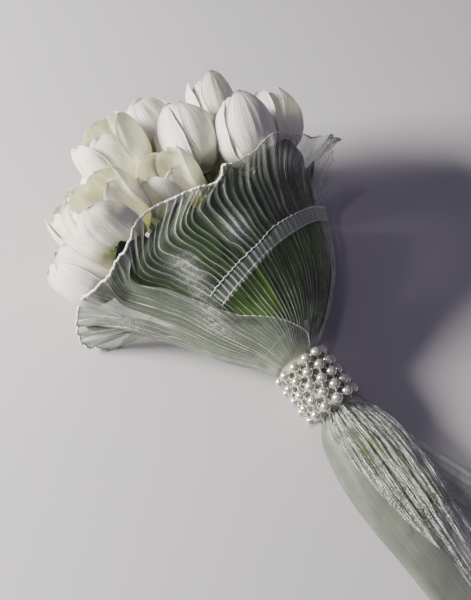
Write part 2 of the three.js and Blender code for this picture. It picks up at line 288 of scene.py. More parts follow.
# ---- materials ----
def petal_white(name, base, lower, middle, upper):
    """White tulip tepal: soft waxy skin over juicy tissue, so light glows through. Fine veins run from
    base to tip, and the white turns cream, then green, towards the base."""
    material, tree = new_material(name)
    place = add_node(tree, "UVMap", uv_map="surface")
    split = add_node(tree, "SeparateXYZ", {0: place})
    # Veins about 0.8 mm apart across a tepal 34 mm wide, long along it.
    stretch = add_node(tree, "Mapping", {"Vector": place, "Scale": (42, 2.2, 1)})
    veins = add_node(tree, "TexNoise", {
        "Vector": stretch, "Scale": 1.0, "Detail": 3.0, "Distortion": 0.25}, noise_dimensions="2D")
    where = add_node(tree, "TexCoord").outputs["Object"]
    cloud = add_node(tree, "TexNoise", {"Vector": where, "Scale": 90.0, "Detail": 3.0})
    shade = add_node(tree, "ValToRGB", {0: split.outputs["Y"]})
    set_stops(shade, [(0.0, linear(base)), (0.12, linear(lower)), (0.28, linear(middle)),
                     (0.42, linear(upper)), (1.0, linear(upper))])
    vein_tone = add_node(tree, "MapRange", {
        "Value": veins, "From Min": 0.35, "From Max": 0.7, "To Min": 0.0, "To Max": 0.34})
    veined = add_node(tree, "Mix", {
        "Factor": vein_tone, "A": shade, "B": linear("#C9C9BC")}, data_type="RGBA")
    cloud_tone = add_node(tree, "MapRange", {
        "Value": cloud, "From Min": 0.4, "From Max": 0.75, "To Min": 0.0, "To Max": 0.3})
    mixed = add_node(tree, "Mix", {
        "Factor": cloud_tone, "A": veined, "B": linear("#EDEBD2")}, data_type="RGBA")
    rough = add_node(tree, "MapRange", {"Value": veins, "To Min": 0.42, "To Max": 0.6})
    relief = add_node(tree, "Bump", {"Height": veins, "Strength": 0.8, "Distance": 0.0006})
    skin = add_node(tree, "BsdfPrincipled", {
        "Base Color": mixed, "Roughness": rough, "Normal": relief, "Subsurface Weight": 0.45,
        "Subsurface Radius": (1.0, 0.95, 0.6), "Subsurface Scale": 0.0025, "Sheen Weight": 0.12,
        "Sheen Roughness": 0.5, "Specular IOR Level": 0.35})
    add_node(tree, "OutputMaterial", {"Surface": skin})
    return material


def leaf_green(name, dark, light, width_mm):
    """Tulip leaf or stem: waxy skin with close parallel veins along it, patchy light and dark green."""
    material, tree = new_material(name)
    place = add_node(tree, "UVMap", uv_map="surface")
    # Veins about 1.2 mm apart.
    stretch = add_node(tree, "Mapping", {"Vector": place, "Scale": (width_mm / 1.2, 1.6, 1)})
    veins = add_node(tree, "TexNoise", {
        "Vector": stretch, "Scale": 1.0, "Detail": 2.0, "Distortion": 0.1}, noise_dimensions="2D")
    where = add_node(tree, "TexCoord").outputs["Object"]
    cloud = add_node(tree, "TexNoise", {"Vector": where, "Scale": 26.0, "Detail": 3.0})
    both = add_node(tree, "Math", {0: veins, 1: cloud}, operation="ADD")
    tone = add_node(tree, "MapRange", {"Value": both, "From Min": 0.8, "From Max": 1.2})
    colour = add_node(tree, "Mix", {
        "Factor": tone, "A": linear(dark), "B": linear(light)}, data_type="RGBA")
    # Painted shade: a leaf goes nearly black-green towards its tip, where it lies deepest in the wrap. A
    # stem's map ends before that.
    split = add_node(tree, "SeparateXYZ", {0: place})
    far = add_node(tree, "MapRange", {
        "Value": split.outputs["Y"], "From Min": 0.9, "From Max": 2.5, "To Min": 0.0, "To Max": 0.8})
    deep = add_node(tree, "Mix", {"Factor": far, "A": colour, "B": linear("#0A130A")}, data_type="RGBA")
    rough = add_node(tree, "MapRange", {"Value": cloud, "To Min": 0.35, "To Max": 0.55})
    relief = add_node(tree, "Bump", {"Height": veins, "Strength": 0.5, "Distance": 0.0004})
    skin = add_node(tree, "BsdfPrincipled", {
        "Base Color": deep, "Roughness": rough, "Normal": relief, "Subsurface Weight": 0.08,
        "Subsurface Radius": (0.4, 1.0, 0.3), "Subsurface Scale": 0.001, "Coat Weight": 0.1,
        "Coat Roughness": 0.4})
    add_node(tree, "OutputMaterial", {"Surface": skin})
    return material


CLOTH_NUMBERS = ["phase", "pitch", "veil", "crumple_and_glint", "shade"]


def organza(name, cloth, fold, line_mm, line_alpha, glint):
    """Sheer polyester organza, heat-set in narrow pleats. The cloth is see-through, and each pleat's edge,
    where the cloth lies folded on itself, is a thin bright line. Crumpled places get a painted glint. The
    cloth carries its pleat count, pleat width in millimetres, solidity, crumpling with glint, and painted
    shade."""
    material, tree = new_material(name)
    phase, pitch, veil, crumple_and_glint, shade = [
        add_node(tree, "Attribute", attribute_name=number).outputs["Fac"] for number in CLOTH_NUMBERS]
    where = add_node(tree, "TexCoord").outputs["Object"]
    # The pleat's edge: distance from it in millimetres against the line's half width.
    part = add_node(tree, "Math", {0: phase}, operation="FRACT")
    off = add_node(tree, "Math", {0: part, 1: 0.75}, operation="SUBTRACT")
    away = add_node(tree, "Math", {0: off}, operation="ABSOLUTE")
    in_mm = add_node(tree, "Math", {0: away, 1: pitch}, operation="MULTIPLY")
    wander = add_node(tree, "TexNoise", {"Vector": where, "Scale": 110.0, "Detail": 2.0})
    strength = add_node(tree, "MapRange", {
        "Value": wander, "From Min": 0.3, "From Max": 0.7, "To Min": 0.2, "To Max": 1.0})
    line = add_node(tree, "MapRange", {
        "Value": in_mm, "From Min": line_mm * 0.35, "From Max": line_mm, "To Min": 1.0, "To Max": 0.0},
        interpolation_type="SMOOTHSTEP")
    # No two pleats are pressed alike: some edges are sharp and bright, some hardly there.
    scaled = add_node(tree, "Math", {0: phase, 1: 0.9}, operation="MULTIPLY")
    own = add_node(tree, "TexNoise", {"W": scaled, "Scale": 1.0, "Detail": 1.0}, noise_dimensions="1D")
    pressed = add_node(tree, "MapRange", {
        "Value": own, "From Min": 0.35, "From Max": 0.62, "To Min": 0.3, "To Max": 1.0})
    uneven = add_node(tree, "Math", {0: strength, 1: pressed}, operation="MULTIPLY")
    drawn = add_node(tree, "Math", {0: line, 1: uneven}, operation="MULTIPLY")
    # Painted glint: crumpled cloth gets bright specks about 0.6 mm across, painted where small facets would
    # face the light.
    specks = add_node(tree, "TexNoise", {"Vector": where, "Scale": 1600.0, "Detail": 2.0, "Roughness": 0.5})
    bright = add_node(tree, "MapRange", {
        "Value": specks, "From Min": 0.5, "From Max": 0.6, "To Min": 0.0, "To Max": glint})
    sparkle = add_node(tree, "Math", {0: bright, 1: crumple_and_glint}, operation="MULTIPLY")
    lined = add_node(tree, "Math", {0: drawn, 1: line_alpha}, operation="MULTIPLY")
    veiled = add_node(tree, "Math", {0: veil, 1: lined}, operation="ADD")
    cover = add_node(tree, "Math", {0: veiled, 1: sparkle}, operation="ADD", use_clamp=True)
    # Painted glint and pleat edges: both turn the cloth to its fold colour.
    paint = add_node(tree, "Math", {0: drawn, 1: sparkle}, operation="ADD", use_clamp=True)
    plain = add_node(tree, "Mix", {
        "Factor": shade, "A": linear(cloth), "B": linear("#4A4E46")}, data_type="RGBA")
    colour = add_node(tree, "Mix", {"Factor": paint, "A": plain, "B": linear(fold)}, data_type="RGBA")
    rough = add_node(tree, "MapRange", {"Value": specks, "To Min": 0.3, "To Max": 0.55})
    relief = add_node(tree, "Bump", {"Height": specks, "Strength": 0.25, "Distance": 0.0004})
    cloth_skin = add_node(tree, "BsdfPrincipled", {
        "Base Color": colour, "Roughness": rough, "Normal": relief, "Alpha": cover, "Sheen Weight": 0.3,
        "Sheen Roughness": 0.35, "Specular IOR Level": 0.5})
    add_node(tree, "OutputMaterial", {"Surface": cloth_skin})
    return material


def hem_thread():
    """Rolled hem: organza rolled under and overlocked with shiny thread, so it is ribbed and solid."""
    material, tree = new_material("overlocked_rolled_hem")
    place = add_node(tree, "UVMap", uv_map="surface")
    # One rib each 2.2 mm; the V of the map is the length in millimetres.
    ribs = add_node(tree, "TexWave", {
        "Vector": place, "Scale": 0.14, "Distortion": 0.6, "Detail": 1.0}, bands_direction="Y")
    colour = add_node(tree, "Mix", {
        "Factor": ribs.outputs["Fac"], "A": linear("#C9C9C2"), "B": linear("#F4F2EC")}, data_type="RGBA")
    relief = add_node(tree, "Bump", {"Height": ribs.outputs["Fac"], "Strength": 0.6, "Distance": 0.0003})
    rough = add_node(tree, "MapRange", {"Value": ribs.outputs["Fac"], "To Min": 0.55, "To Max": 0.35})
    skin = add_node(tree, "BsdfPrincipled", {
        "Base Color": colour, "Roughness": rough, "Normal": relief, "Sheen Weight": 0.3})
    add_node(tree, "OutputMaterial", {"Surface": skin})
    return material


def pearl_nacre():
    """Faux pearl: a moulded bead dipped in pearl lacquer, so hard clear gloss lies over a satin body."""
    material, tree = new_material("pearl_lacquered_bead")
    where = add_node(tree, "TexCoord").outputs["Object"]
    cloud = add_node(tree, "TexNoise", {"Vector": where, "Scale": 160.0, "Detail": 2.0})
    colour = add_node(tree, "ValToRGB", {0: cloud})
    set_stops(colour, [(0.3, linear("#CDC8BD")), (0.5, linear("#E8E3D6")), (0.7, linear("#DADBCF"))])
    rough = add_node(tree, "MapRange", {"Value": cloud, "To Min": 0.16, "To Max": 0.26})
    relief = add_node(tree, "Bump", {"Height": cloud, "Strength": 0.06, "Distance": 0.0002})
    body = add_node(tree, "BsdfPrincipled", {
        "Base Color": colour, "Roughness": rough, "Normal": relief, "Metallic": 0.75, "Coat Weight": 1.0,
        "Coat Roughness": 0.05, "Coat IOR": 1.9, "Specular IOR Level": 0.7})
    add_node(tree, "OutputMaterial", {"Surface": body})
    return material


def mottled(name, scale, detail, dark, light, smoothest, roughest, strength, distance):
    """A skin whose colour, gloss and relief follow one fine mottle."""
    material, tree = new_material(name)
    where = add_node(tree, "TexCoord").outputs["Object"]
    cloud = add_node(tree, "TexNoise", {"Vector": where, "Scale": scale, "Detail": detail})
    colour = add_node(tree, "Mix", {"Factor": cloud, "A": linear(dark), "B": linear(light)}, data_type="RGBA")
    rough = add_node(tree, "MapRange", {"Value": cloud, "To Min": smoothest, "To Max": roughest})
    relief = add_node(tree, "Bump", {"Height": cloud, "Strength": strength, "Distance": distance})
    body = add_node(tree, "BsdfPrincipled", {"Base Color": colour, "Roughness": rough, "Normal": relief})
    add_node(tree, "OutputMaterial", {"Surface": body})
    return material


# The closed heads' white is painted a little greyer and the open heads' a little brighter: painted shade on
# the posy's shaded right, painted light on its lit left. The open heads' green throat is their own.
PETAL = petal_white("petal_white_closed_tulip_painted_shade", "#D3D8A4", "#E9E9D2", "#F0EEE0", "#F1EFE3")
PETAL_OPEN = petal_white("petal_white_open_tulip_green_throat_painted_light", "#A9BC3E", "#D6DC74", "#F1EFC4", "#FDFCEA")
STEM_SKIN = leaf_green("stem_skin", "#35501F", "#7C9650", 12)
# The leaves' darkest green is near black: partly their own dark green, partly painted shade from inside the
# wrap.
LEAF_SKIN = leaf_green("leaf_skin", "#0C1A09", "#547C22", 34)
WRAP_CLOTH = organza("organza_pleated_wrap", "#B9C2B8", "#ECEEE8", 0.23, 0.64, 0.68)
# The flap is the same organza as the wrap, painted a darker grey-green: painted shade.
FLAP_CLOTH = organza("organza_pressed_flap_painted_shade", "#8B9487", "#E9ECE2", 0.28, 0.46, 0.6)
HEM = hem_thread()
NACRE = pearl_nacre()
# Clear nylon thread that the pearls are woven with: smooth, shiny and whitish where it doubles up.
THREAD = mottled("nylon_bead_thread", 700.0, 2.0, "#AEB2B0", "#E8EAE8", 0.15, 0.35, 0.15, 0.0001)
# Pistil and anthers in the cup: pale yellow-green, and powdery with pollen.
HEART = mottled("pistil_and_anthers", 420.0, 3.0, "#9DB04A", "#E6DC86", 0.6, 0.8, 0.4, 0.0003)


# ---- the wrap's surface: rows from the tails' end (0) through the band to the rim ----
# x, middle and half width in y, top and bottom in z.
TAIL_SECTIONS = [
    (165, -6.5, 20.5, 7, -4), (135, -6, 22, 12, -4), (105, -4.5, 23.5, 22, -4), (75, -2, 26, 26, -4),
    (50, 0.5, 26, 28, -2), (30, 0, 20.5, 30, 2.5), (21, 0, 15, 30.4, 4.4),
]
CONE_SECTIONS = [
    (-21, 3, 17, 41, 9), (-32, 8, 29, 50, 3), (-48, 10.5, 44, 61, -3), (-65, 10, 55, 75, -6),
    (-80, 8, 64, 87, -8), (-94, 6, 74, 96, -8),
]
# degrees round the mouth, then the rim's place.
RIM = np.array([
    (0, -106, 98, 44), (22, -106, 96, 60), (42, -106, 80, 76), (60, -113, 58, 92), (76, -106, 36, 99),
    (88, -103, 18, 104), (100, -100, 8, 102), (122, -107, -12, 99), (140, -111, -38, 95),
    (152, -102, -57, 87), (164, -101, -69, 77), (176, -110, -80, 58), (188, -115, -84, 32),
    (200, -115, -86, 14), (212, -108, -84, 4), (226, -103, -68, -2), (250, -106, -36, -4),
    (270, -108, 0, -4), (300, -108, 44, -4), (322, -106, 74, 0), (342, -105, 94, 16), (360, -106, 98, 44),
], float)
BAND_HALF = 17.0
NECK_R = 10.9
NECK_ROW = len(TAIL_SECTIONS) + 1
RIM_ROW = len(TAIL_SECTIONS) + 3 + len(CONE_SECTIONS)
CLOTH_FLOOR = 0.6


def rim_points(turn):
    """The rim, rounded between its listed places."""
    degrees = np.degrees(turn) % 360
    ends = RIM[:-1]
    angle = np.concatenate([ends[-2:, 0] - 360, ends[:, 0], ends[:2, 0] + 360])
    place = np.concatenate([ends[-2:, 1:], ends[:, 1:], ends[:2, 1:]])
    i = np.clip(np.searchsorted(angle, degrees, side="right") - 1, 1, len(angle) - 3)
    h = (angle[i + 1] - angle[i])[..., None]
    t = ((degrees - angle[i]) / (angle[i + 1] - angle[i]))[..., None]
    m0 = (place[i + 1] - place[i - 1]) / (angle[i + 1] - angle[i - 1])[..., None] * h
    m1 = (place[i + 2] - place[i]) / (angle[i + 2] - angle[i])[..., None] * h
    return ((2 * t ** 3 - 3 * t ** 2 + 1) * place[i] + (t ** 3 - 2 * t ** 2 + t) * m0
            + (3 * t ** 2 - 2 * t ** 3) * place[i + 1] + (t ** 3 - t ** 2) * m1)


def length_lines(turn):
    """The wrap's cross-sections at each whole row, for an array of angles."""
    def section(x, y, half, top, bottom):
        mid = (top + bottom) / 2
        return np.stack([np.full_like(turn, x), y + half * np.cos(turn),
                         mid + (top - mid) * np.sin(turn)], -1)

    lines = [section(*s) for s in TAIL_SECTIONS]
    for along in (-BAND_HALF, 0, BAND_HALF):
        middle = np.array([0, 0, BAND_HEIGHT]) + AXIS * along
        lines.append(middle + NECK_R * (np.multiply.outer(np.cos(turn), SIDE)
                                        + np.multiply.outer(np.sin(turn), RISE)))
    lines += [section(*s) for s in CONE_SECTIONS]
    lines.append(rim_points(turn))
    return np.array(lines)


def wrap_surface(row, turn):
    """Points of the smooth wrap, without pleats, for arrays of rows and angles."""
    shape = np.broadcast(row, turn).shape
    row = np.broadcast_to(row, shape).ravel().astype(float)
    turn = np.broadcast_to(turn, shape).ravel().astype(float)
    lines = length_lines(turn)
    i = np.clip(np.floor(row).astype(int), 0, RIM_ROW - 1)
    t = (row - i)[:, None]
    k = np.arange(len(row))
    before, start = lines[np.maximum(i - 1, 0), k], lines[i, k]
    end, after = lines[i + 1, k], lines[np.minimum(i + 2, RIM_ROW), k]
    curved = start + 0.5 * t * (end - before + t * (2 * before - 5 * start + 4 * end - after
                                                    + t * (3 * (start - end) + after - before)))
    in_neck = ((i == NECK_ROW - 1) | (i == NECK_ROW))[:, None]
    straight = start + (end - start) * t
    return np.where(in_neck, straight, curved).reshape(shape + (3,))


def outward(row, turn):
    """The wrap's outward direction."""
    row_step, turn_step = 0.04, 0.015
    low, high = np.clip(row - row_step, 0, RIM_ROW), np.clip(row + row_step, 0, RIM_ROW)
    along = wrap_surface(high, turn) - wrap_surface(low, turn)
    across = wrap_surface(row, turn + turn_step) - wrap_surface(row, turn - turn_step)
    normal = np.cross(along, across)
    return normal / np.maximum(np.linalg.norm(normal, axis=-1, keepdims=True), 1e-9)


# ---- blooms: how far open, degrees of roll, size, how far the tips stand from the middle ----
BLOOM_LOOKS = [
    (0.2, 25, 0.97, 0.30), (0.10, 70, 1.04, 0.28), (0.2, 62, 0.86, 0.42), (0.03, 48, 1.12, 0.18),
    (0.55, 80, 1.10, 0.62), (0.70, 40, 0.98, 0.86), (0.75, 62, 1.10, 0.85), (0.60, 33, 1.10, 0.78),
    (0.48, 100, 0.97, 0.5), (0.34, 50, 1.02, 0.44), (0.5, 55, 1.08, 0.65), (0.5, 10, 1.05, 0.6),
    (0.5, 40, 1.05, 0.6), (0.2, 85, 1.0, 0.4), (0.1, 15, 1.0, 0.4),
]
BLOOM_LENGTH = 46.0
BLOOM_R = 16.4
OPEN_ENOUGH = 0.4  # from here the heart shows and the throat is green
TEPALS = 6
TEPAL_ROWS = 30
TEPAL_COLUMNS = 33
OUTER_HALF = 18.0
INNER_HALF = 16.0
TEPAL_THICK = 0.55
MIDRIB_DEPTH = 0.55
RIB_HEIGHT = 0.13
# Shapes below run from base (0) to tip (1), as shares of the bloom's radius or the tepal's half width.
CLOSED_PROFILE = [(0, 0.16), (0.06, 0.46), (0.16, 0.78), (0.3, 0.96), (0.45, 1.0), (0.6, 0.96),
                  (0.75, 0.82), (0.88, 0.58), (1, 0.3)]
OPEN_PROFILE = [(0, 0.16), (0.06, 0.46), (0.16, 0.80), (0.3, 1.04), (0.45, 1.17), (0.6, 1.22), (0.75, 1.17),
                (0.88, 1.06), (1, 0.92)]
TEPAL_OUTLINE = [(0, 0.3), (0.1, 0.56), (0.25, 0.86), (0.42, 1.0), (0.58, 0.96), (0.72, 0.80), (0.84, 0.56),
                 (0.92, 0.34), (0.97, 0.17), (1, 0.03)]
ROUND_OUTLINE = [(0, 0.3), (0.1, 0.56), (0.25, 0.86), (0.42, 1.02), (0.58, 1.06), (0.72, 1.0), (0.84, 0.82),
                 (0.92, 0.6), (0.97, 0.36), (1, 0.05)]


def curve_at(pairs, at):
    """Reads a smooth curve through (place, value) pairs."""
    x, y = np.array(pairs, float).T
    slope = np.gradient(y, x)
    at = np.clip(at, x[0], x[-1])
    i = np.clip(np.searchsorted(x, at, side="right") - 1, 0, len(x) - 2)
    h = x[i + 1] - x[i]
    t = (at - x[i]) / h
    return ((2 * t ** 3 - 3 * t ** 2 + 1) * y[i] + (t ** 3 - 2 * t ** 2 + t) * h * slope[i]
            + (3 * t ** 2 - 2 * t ** 3) * y[i + 1] + (t ** 3 - t ** 2) * h * slope[i + 1])


def tepal(angle, outer, openness, size, tip, seed):
    """One tepal about the bloom's axis (+Z, base at 0): grid of middle points and its thickness."""
    draw = random.Random(seed)
    v = np.linspace(0, 1, TEPAL_ROWS)[:, None]
    u = np.linspace(-1, 1, TEPAL_COLUMNS)[None, :]
    tip_own = tip + draw.uniform(-0.1, 0.1)
    closed = curve_at(CLOSED_PROFILE, v) + (tip_own - 0.3) * smooth(0.6, 1.0, v)
    radius = BLOOM_R * size * (closed * (1 - openness) + curve_at(OPEN_PROFILE, v) * openness)
    radius = radius + (1.0 if outer else -1.3) * smooth(0.05, 0.4, v)
    wide = OUTER_HALF if outer else INNER_HALF
    wide = wide * (1 - 0.16 * min(openness * 2, 1)) * draw.uniform(0.92, 1.06)
    round_share = min(openness * 1.6, 1)
    half = wide * size * (curve_at(TEPAL_OUTLINE, v) * (1 - round_share)
                          + curve_at(ROUND_OUTLINE, v) * round_share)
    spread = np.minimum(half / np.maximum(radius, 2.0), 1.3 - 0.2 * openness)
    lean = math.radians(draw.uniform(-7, 7)) * v
    turn = angle + lean + u * spread
    # The midrib is a shallow groove, and the edges stand a little away from the tepal beneath.
    radius = radius - MIDRIB_DEPTH * np.exp(-((u / 0.13) ** 2)) * smooth(0.02, 0.3, v) * smooth(1.0, 0.75, v)
    # One edge lies over the next tepal and the other under the one before.
    radius = radius + (0.75 * u + 0.5 * np.abs(u) ** 3) * smooth(0.05, 0.5, v)
    # Low ribs run from base to tip.
    ribs = np.sin(u * 11 + draw.uniform(0, 6)) + 0.6 * np.sin(u * 23 + v * 2 + draw.uniform(0, 6))
    radius = radius + RIB_HEIGHT * ribs * smooth(0.05, 0.3, v) * smooth(1.0, 0.8, v)
    # Edges ripple, and on open heads they roll in.
    wave = math.sin(draw.uniform(0, 6)) + 1.2
    radius = radius + 0.5 * wave * np.abs(u) ** 2 * np.sin(v * 9 + u * 2 + draw.uniform(0, 6)) * v
    roll_in = draw.uniform(0, 1.6) * openness
    radius = radius - roll_in * smooth(0.7, 1.0, np.abs(u)) * smooth(0.35, 0.8, v)
    shorter = draw.uniform(0, 0.07) + (0 if outer else 0.04)
    tall = BLOOM_LENGTH * (0.5 + 0.5 * size) * (1 - 0.12 * openness) * (1 - shorter)
    height = tall * v - 1.6 * openness * v ** 4 * (1 + np.cos(u * 2))
    grid = np.stack([radius * np.cos(turn), radius * np.sin(turn), height], -1)
    thick = TEPAL_THICK - 0.25 * np.abs(u) ** 2 - 0.12 * v
    return grid, thick


def turn_to(direction, roll):
    """Columns take X, Y and Z to a frame whose Z is the direction."""
    side = np.cross(direction, [0.0, 0.0, 1.0])
    side /= np.linalg.norm(side)
    up = np.cross(side, direction)
    c, s = math.cos(roll), math.sin(roll)
    return np.stack([c * side + s * up, -s * side + c * up, direction], 1)


def pistil(size):
    """The ovary with its three-lobed stigma, and six anthers on short filaments."""
    parts = [tube([[0, 0, 3], [0, 0, 10], [0, 0, 17]], [2.4, 3.0, 2.2], sides=12)]
    for k in range(3):
        a = k * 2 * PI / 3
        lobe = [[0, 0, 17.2], [1.6 * math.cos(a), 1.6 * math.sin(a), 18.4],
                [3.4 * math.cos(a), 3.4 * math.sin(a), 18.0]]
        parts.append(tube(lobe, [1.2, 1.3, 0.7], sides=8))
    for k in range(6):
        a = k * PI / 3 + 0.3
        x, y = math.cos(a), math.sin(a)
        parts.append(tube([[3 * x, 3 * y, 3], [5.5 * x, 5.5 * y, 9], [6.4 * x, 6.4 * y, 13]],
                          [0.7, 0.6, 0.5], sides=6))
        parts.append(tube([[6.4 * x, 6.4 * y, 12.4], [6.9 * x, 6.9 * y, 16], [7.1 * x, 7.1 * y, 20]],
                          [0.9, 1.25, 0.7], sides=8))
    points, faces = join_parts(parts)
    return points * size, faces


BAND_PLACE = np.array([0.0, 0.0, BAND_HEIGHT])
# The heads in front nod up and aside: each bloom's share of NOD_WAY is added to its own direction.
NOD_WAY = np.array([0.35, -0.3, 0.9])
HEAD_NODS = {6: 0.64, 7: 0.55, 8: 0.58, 5: 0.25, 9: 0.35}
bloom_lines = []
for number, (openness, roll, size, tip) in enumerate(BLOOM_LOOKS, start=1):
    node = f"tulip_bloom_{number}"
    middle = middle_of(node) - SHIFT
    direction = (middle - BAND_PLACE) / np.linalg.norm(middle - BAND_PLACE)
    direction = direction + HEAD_NODS.get(number, 0) * NOD_WAY
    direction = direction / np.linalg.norm(direction)
    frame_of = turn_to(direction, math.radians(roll))
    base = middle - direction * BLOOM_LENGTH / 2
    bloom_lines.append((base, direction))
    parts, places = [], []
    for k in range(TEPALS):
        outer = k % 2 == 0
        grid, thick = tepal(k * PI / 3, outer, openness, size, tip, number * 31 + k)
        parts.append(closed_shell(grid, thick))
        u, v = np.meshgrid(np.linspace(0, 1, TEPAL_COLUMNS), np.linspace(0, 1, TEPAL_ROWS))
        flat = np.stack([u + 3 * k + 0.37 * number, v], -1).reshape(-1, 2)
        places += [flat, flat]
    points, faces = join_parts(parts)
    placed = points @ frame_of.T + base
    placed[:, 2] = np.maximum(placed[:, 2], CLOTH_FLOOR)
    mesh_piece(f"tulip_{number}_petals", placed, faces,
               PETAL_OPEN if openness > OPEN_ENOUGH else PETAL, [node],
               uv=np.concatenate(places))
    if openness > OPEN_ENOUGH:
        points, faces = pistil(size)
        mesh_piece(f"tulip_{number}_heart", points @ frame_of.T + base, faces, HEART)


# ---- stems: (ring, slot) in the bundle for each bloom ----
STEM_PLACES = [(1, 0), (1, 1), (0, 4), (0, 0), (-1, 0), (1, 3), (1, 2), (1, 4), (0, 1), (1, 5), (1, 6),
               (0, 2), (0, 3), (1, 8), (1, 7)]
STEM_R = 2.0
STEM_POINTS = 64
STEM_SIDES = 14
RING_RADIUS = {-1: 0.0, 0: 4.2, 1: 8.4}
BAND_ENTRY = 21


def in_band(along, across, up):
    """A place in the band, measured from its middle."""
    return BAND_PLACE + AXIS * along + SIDE * across + RISE * up


for number, (ring, place) in enumerate(STEM_PLACES, start=1):
    node = f"tulip_stem_{number}"
    turn = math.radians(30 + 72 * place if ring == 0 else 40 * place)
    out = RING_RADIUS[ring]
    across, up = out * math.cos(turn), out * math.sin(turn)
    base, direction = bloom_lines[number - 1]
    end = np.array([95.0 - 3 * ((number - 1) % 3), 1.5 * across, 12 + up])
    enter = in_band(-BAND_ENTRY, across, up)
    leave = in_band(BAND_ENTRY, across, up)
    line = through([end, end * 0.5 + enter * 0.5, enter, in_band(0, across, up), leave,
                    base - direction * 12, base + direction], STEM_POINTS)
    line = line + waves(number, line, 70)[:, None] * np.array([0, 0.2, 0.2])
    reach = np.linspace(0, 1, STEM_POINTS)
    radius = STEM_R - 0.15 * reach + 0.25 * smooth(0.97, 1, reach)
    points, faces = tube(line, radius, sides=STEM_SIDES)
    around = np.tile(np.linspace(0, 1, STEM_SIDES, endpoint=False), STEM_POINTS)
    length = np.repeat(reach * 0.8, STEM_SIDES)
    uv = np.concatenate([np.stack([around, length], -1), [[0, 0], [0, 1]]])
    mesh_piece(f"tulip_{number}_stem", points, faces, STEM_SKIN, [node], uv=uv)


# ---- leaves: degrees round the wrap, half width in degrees, tip row, depth inside the wrap ----
LEAVES = [(122, 25, 15.8, 3.0), (90, 24, 15.7, 5.4), (52, 22, 15.9, 3.0), (14, 22, 15.4, 5.4),
          (200, 20, 15.8, 3.0), (149, 25, 15.9, 5.4), (322, 18, 15.1, 3.0)]
LEAF_START = NECK_ROW + 2.6
LEAF_ROWS = 60
LEAF_COLUMNS = 15
START_INSET = 1.3
LEAF_FLOOR = CLOTH_FLOOR + 1.5

for number, (middle, half, tip_row, inset) in enumerate(LEAVES, start=1):
    t = np.linspace(0, 1, LEAF_ROWS)[:, None]
    u = np.linspace(-1, 1, LEAF_COLUMNS)[None, :]
    row = LEAF_START + (tip_row - LEAF_START) * t
    wide = half * np.clip(np.cos(PI / 2 * smooth(0.76, 1.03, t)), 0.01, 1)
    turn = np.radians(middle + u * wide)
    row = row + 0 * turn
    deep = START_INSET + (inset - START_INSET) * t + 0.9 * np.exp(-((u / 0.2) ** 2)) * smooth(0, 0.4, t)
    grid = wrap_surface(row, turn)
    ripple = 0.4 * np.abs(u) ** 2 * np.sin(t * 17 + number * 2 + u)
    grid = grid - outward(row, turn) * (deep + ripple)[..., None]
    grid[..., 2] = np.maximum(grid[..., 2], LEAF_FLOOR)
    points, faces = closed_shell(grid, 0.7 - 0.3 * np.abs(u) + 0 * t)
    flat = np.stack(np.broadcast_arrays(u * 0.5 + 0.5 + number, t * 3), -1).reshape(-1, 2)
    mesh_piece(f"tulip_leaf_blade_{number}", points, faces, LEAF_SKIN, [f"tulip_leaf_{number}"],
               uv=np.concatenate([flat, flat]))


# ---- organza ----
LAYER_GAP = 1.3
NECK_GAP = 0.9
PLEAT_DEGREES = 3.7  # one pleat, which makes about 5 mm at the rim
TAIL_PLEATS = 2.6  # how many times finer the pleats lie in the tails
# Each panel's two edges, as (row, degrees).
TOP_START = [(0, 35), (7, 32), (16, 28)]
TOP_END = [(0, 92), (1.5, 96), (2.5, 116), (3.5, 124), (5, 138), (7, 145), (9, 147), (16, 163)]
FLAP_START = [(0, 78), (1.5, 82), (2.5, 98), (3.5, 106), (5, 120), (7, 138), (8, 116), (8.75, 60), (9, 62),
              (10.19, 74), (10.69, 92), (11.62, 117), (12.06, 128), (12.62, 135), (13.12, 138), (16, 149)]
FLAP_END = [(0, 232), (7, 237), (9, 237), (16, 234)]
UNDER_START = [(0, 243), (16, 238)]
UNDER_END = [(0, 386), (7, 387), (16, 385)]
# The hem strip's two edges, as (degrees, row).
STRIP_UPPER = [(20, 13.62), (42, 13.56), (65, 13.44), (78, 13.38), (90, 13.19), (111, 13.06), (133, 12.94),
               (150, 12.9)]
STRIP_LOWER = [(20, 13.2), (42, 13.14), (65, 13.02), (88, 12.88), (110, 12.69), (131, 12.56), (150, 12.5)]


def layer_lift(row, layer):
    """Height of a layer of cloth; layers lie closer together in the band."""
    away = np.clip((np.abs(row - NECK_ROW) - 1) / 0.5, 0, 1)
    return layer * (NECK_GAP + (LAYER_GAP - NECK_GAP) * away)


def pleat_lean(row, degrees):
    """Pleats above the hem strip sway, and those on the left lean further left towards the rim."""
    left = smooth(70, 112, degrees)
    sway = 1.1 * np.sin((row - 13) * 2.3) * smooth(13.1, 13.8, row)
    return sway + left * 6 * smooth(12.9, 16.4, row)


def pleat_phase(row, degrees):
    """The pleats counted round the wrap; each whole number is one pleat."""
    wander = 0.25 * waves(5, np.stack(np.broadcast_arrays(degrees / 9.0, row * 0.5), -1), 2.2)
    return (degrees - pleat_lean(row, degrees)) / PLEAT_DEGREES + wander * smooth(9.5, 12, row)


def mouth_ruffle(row, degrees):
    """The soft in and out of the whole mouth, which every layer follows."""
    wave = np.sin(np.radians(degrees) * 13 + 0.7) + 0.7 * np.sin(np.radians(degrees) * 29 + 2.0)
    # The left side lies in deeper, looser folds.
    loose = 1.2 * np.sin(degrees * 0.9) + 1.6 * np.sin(degrees * 0.37 + 1)
    return 1.1 * wave * smooth(12.4, 16, row) + loose * bump_at(degrees, 196, 26) * smooth(12.4, 15.0, row)


